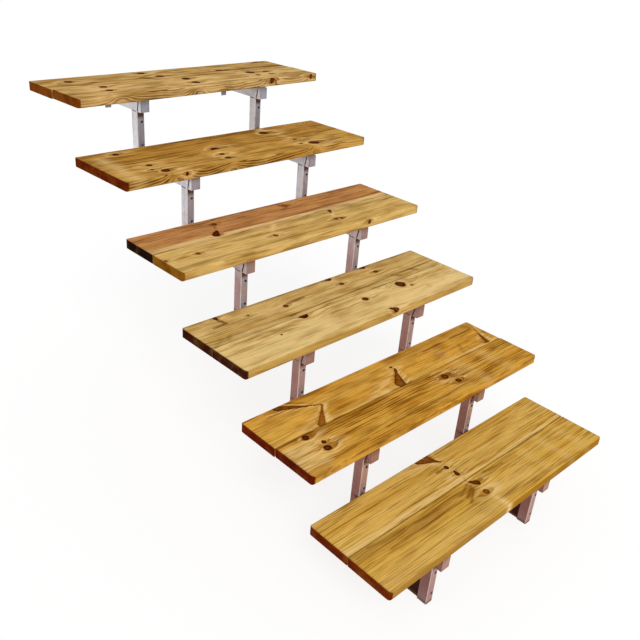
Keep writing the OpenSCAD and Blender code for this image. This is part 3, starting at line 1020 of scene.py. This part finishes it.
def join_shapes(shapes):
    """Stacks (points, faces) pairs: each shape's face indices move up by the points before it."""
    points, faces, start = [], [], 0
    for shape_points, shape_faces in shapes:
        points.append(shape_points)
        faces.extend([[i + start for i in face] for face in shape_faces])
        start += len(shape_points)
    return np.vstack(points), faces


def facing_front(shape):
    """Turns a shape so that its Z axis points along -Y: y becomes -z, and z becomes y."""
    points, faces = shape
    return points[:, [0, 2, 1]] * [1, -1, 1], faces


M8_FLATS, M8_HEAD, M8_NUT, M8_R, THREAD_PAST_NUT = 13.0, 5.3, 6.8, 4.0, 3
SHEET, WASHER, WASHER_R = 2.5, 1.6, 7.5
FLANGE, FLANGE_R = 1.2, 5.5
tab_bolt = facing_front(join_shapes([
    disc(SHEET, SHEET + WASHER, WASHER_R),
    hexagon(SHEET + WASHER, SHEET + WASHER + M8_HEAD, M8_FLATS),
    hexagon(-SHEET - M8_NUT, -SHEET, M8_FLATS),
    disc(-SHEET - M8_NUT - THREAD_PAST_NUT, SHEET + 2, M8_R, 0.8),
]))
timber_screw = join_shapes([
    disc(-FLANGE, 0, FLANGE_R), turned([(-4.6, 3.6, 1.0), (-4.2, 4.4, 0.0), (-1.0, 4.6, 0.0)]),
])
print("bolt", len(tab_bolt[1]), "faces, screw", len(timber_screw[1]), "faces")

# %% [markdown]
# ## Fitting the fasteners
#
# Every place comes from the boxes of the CAD channels. A lower arm's tab ends at the front face
# of the post behind it, so the bolt sits where those two meet, at the level of the tab's hole.
# The screws go up through the top of the arm, two into each board.

# %% Place bolts and screws
ARM_H, HOLE_SIDE, HOLE_BELOW_ARM = 40.0, 3.5, 13.0
SCREW_ROWS, TOP_SCREW_ROWS = (78, 118, 168, 214), (78, 118, 168, 196)


def arm_place(side, step):
    """Middle of an arm across, its front end, and its lower edge, all in mm."""
    low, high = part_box(f"{side}_arm_{step}")
    return (low.x + high.x) / 2 / MM, low.y / MM, high.z / MM - ARM_H


def fit(name, shapes, material):
    """Joins (shape, its place in mm) pairs into one piece."""
    points, faces = join_shapes([(shape[0] + np.asarray(by, float), shape[1]) for shape, by in shapes])
    make_piece(name, points * MM, faces, material)


for side in SIDES:
    for step in STEPS:
        middle, front, edge = arm_place(side, step)
        rows = SCREW_ROWS if step < 6 else TOP_SCREW_ROWS
        screws = [(timber_screw, (middle, front + row, edge + ARM_H - SHEET)) for row in rows]
        fit(f"{side}_screws_{step}", screws, BOLT_ZINC)
        if step < 6:
            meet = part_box(f"{side}_post_{step + 1}")[0].y / MM
            bolt = (tab_bolt, (middle + HOLE_SIDE, meet, edge - HOLE_BELOW_ARM))
            fit(f"{side}_tab_bolt_{step}", [bolt], BOLT_ZINC)
print("screws and bolts fitted under", len(SIDES) * len(STEPS), "arms")

# %% [markdown]
# ## Weld beads
#
# The posts are welded inside the arms' front ends, a bead closes the slanted seam in each cheek
# of an arm, and the shoes are welded inside the feet. The beads are dark brown as painted shade,
# for the dark gap of each seam and the shadow under the arms' lower edges. A bead laid by hand is
# a tube pulled along its line whose skin rises and falls once for each pulse of the wire, and its
# ends taper away.

# %% Weld beads
PULSE, RING_STEP = 1.7, 0.57
POST_BEAD_R, SEAM_BEAD_R, SHOE_BEAD_R = 2.1, 2.3, 1.8
POST_BEAD_OFF, SEAM_BEAD_OFF, SHOE_BEAD_OFF = 0.6, 1.6, 0.7
SEAM_BEHIND_FRONT, SEAM_LEAN, SEAM_TOP, SEAM_FOOT = 12.3, 7, 34, 1


def bead(start, stop, radius, seed):
    """A tube from start to stop in mm: its radius swells by a tenth at each pulse, wanders a
    little, and falls to a third at both ends."""
    start, stop = np.asarray(start, float), np.asarray(stop, float)
    length = np.linalg.norm(stop - start)
    along = (stop - start) / length
    count = int(length / RING_STEP) + 1
    s = np.linspace(0, length, count)
    side = np.cross(along, [0.3, 0.4, 0.86])
    side /= np.linalg.norm(side)
    other = np.cross(along, side)
    pulses = 0.1 * abs(np.sin(math.pi * s / PULSE + seed))
    taper = 1 - 0.67 * np.exp(-np.minimum(s, length - s) / 1.1)
    size = radius * (1 + pulses + meander(s, seed, [(0.05, 14), (0.04, 6)])) * taper
    angle = np.arange(8) * math.pi / 4
    spoke = np.cos(angle)[:, None] * side + np.sin(angle)[:, None] * other
    skin = start + s[:, None, None] * along + size[:, None, None] * spoke
    points = np.vstack([skin.reshape(-1, 3), start - 0.4 * along, stop + 0.4 * along])
    faces = [[8 * i + j, 8 * i + (j + 1) % 8, 8 * i + 8 + (j + 1) % 8, 8 * i + 8 + j]
             for i in range(count - 1) for j in range(8)]
    tips, last = 8 * count, 8 * (count - 1)
    faces += [[tips, (j + 1) % 8, j] for j in range(8)]
    faces += [[tips + 1, last + j, last + (j + 1) % 8] for j in range(8)]
    return points, faces


for number, (side, step) in enumerate((side, step) for side in SIDES for step in STEPS):
    low, high = (np.array(c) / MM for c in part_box(f"{side}_post_{step}"))
    _, front, edge = arm_place(side, step)
    under, seam = edge - POST_BEAD_OFF, front + SEAM_BEHIND_FRONT
    top, foot = edge + SEAM_TOP, edge + SEAM_FOOT
    beads = [bead((x, low[1] + 4, under), (x, high[1] - 2, under), POST_BEAD_R, number + i)
             for i, x in enumerate((low[0] - POST_BEAD_OFF, high[0] + POST_BEAD_OFF))]
    beads += [bead((x, seam, top), (x, seam + SEAM_LEAN, foot), SEAM_BEAD_R, number + 60 + i)
              for i, x in enumerate((low[0] - SEAM_BEAD_OFF, high[0] + SEAM_BEAD_OFF))]
    if step == 1:
        shoe_low, shoe_high = (np.array(c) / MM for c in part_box(f"{side}_shoe"))
        y, foot, top = high[1] + 0.5, shoe_low[2] + 4, shoe_high[2] - 4
        beads += [bead((x, y, foot), (x, y, top), SHOE_BEAD_R, 30 + i)
                  for i, x in enumerate((shoe_low[0] - SHOE_BEAD_OFF, shoe_high[0] + SHOE_BEAD_OFF))]
    points, faces = join_shapes(beads)
    make_piece(f"{side}_welds_{step}", points * MM, faces, SHOE_STEEL)
print("weld beads laid on", number + 1, "arms and posts")

# %% [markdown]
# ## Floor
#
# The stair stands on a plain white floor in a plain white room. To the camera, in a reflection
# and through glass the floor glows with a share of white, so that it meets the room without an
# edge. The other share is lit like any paper, which keeps the stair's shadow.

# %% Floor
FLOOR_HALF, FLOOR_GLOW = 60.0, 0.8


def looked_at(tree):
    """1 for rays from the camera, in a reflection or through glass, and 0 for those that gather
    the light on a matt surface."""
    ray = node(tree, "LightPath").outputs
    either = node(tree, "Math", {"operation": "MAXIMUM"},
                  in0=ray["Is Camera Ray"], in1=ray["Is Glossy Ray"])
    return node(tree, "Math", {"operation": "MAXIMUM"},
                in0=either.outputs[0], in1=ray["Is Transmission Ray"]).outputs[0]


floor_mesh = bpy.data.meshes.new("floor")
corners = [(x * FLOOR_HALF, y * FLOOR_HALF, GROUND) for x, y in ((-1, -1), (1, -1), (1, 1), (-1, 1))]
floor_mesh.from_pydata(corners, [], [(0, 1, 2, 3)])
floor = bpy.data.objects.new("floor", floor_mesh)
bpy.context.scene.collection.objects.link(floor)
floor_material, tree, shader = new_material("matt_white_floor")
shader.inputs["Base Color"].default_value = linear("#ffffff")
shader.inputs["Roughness"].default_value = 0.9
shader.inputs["Specular IOR Level"].default_value = 0.1
lit_paper = node(tree, "Emission", Color=(1, 1, 1, 1), Strength=1.0)
glow = strength(tree, [(looked_at(tree), 0, 1, 0, FLOOR_GLOW)])
paper = node(tree, "MixShader", in0=glow, in1=shader.outputs[0], in2=lit_paper.outputs[0])
tree.links.new(paper.outputs[0], tree.nodes["Material Output"].inputs["Surface"])
floor_mesh.materials.append(floor_material)
print("floor at", round(GROUND, 3), "m")

# %% [markdown]
# ## Room and sun
#
# A wide soft sun from the front left draws the shapes, and the room fills the shadows, at a
# level where a colour shows about as it was written. The room is white where it is looked at,
# and lights the stair with less, or its tops would wash out.

# %% World and lamp
ROOM_LIGHT, ROOM_SEEN = 0.62, 1.0
SUN_LIGHT, SUN_WIDTH, SUN_TIP, SUN_TURN = 1.85, math.radians(28), math.radians(46), math.radians(-38)

world = bpy.data.worlds.new("white_room")
world.use_nodes = True
bpy.context.scene.world = world
level = strength(world.node_tree, [(looked_at(world.node_tree), 0, 1, ROOM_LIGHT, ROOM_SEEN)])
background = world.node_tree.nodes["Background"]
background.inputs["Color"].default_value = (1, 1, 1, 1)
world.node_tree.links.new(level, background.inputs["Strength"])

sun_data = bpy.data.lights.new("soft_sun", "SUN")
sun_data.energy = SUN_LIGHT
sun_data.angle = SUN_WIDTH
sun = bpy.data.objects.new("soft_sun", sun_data)
sun.rotation_euler = (SUN_TIP, 0, SUN_TURN)
bpy.context.scene.collection.objects.link(sun)
bpy.context.scene.view_settings.view_transform = "Standard"
print("room", ROOM_LIGHT, "and sun", SUN_LIGHT)

# %% [markdown]
# ## Finish
#
# The dressed stair has to fill the same box as the CAD model. At the end the view layer is brought up to
# date.

# %% Finish
bpy.context.view_layer.update()
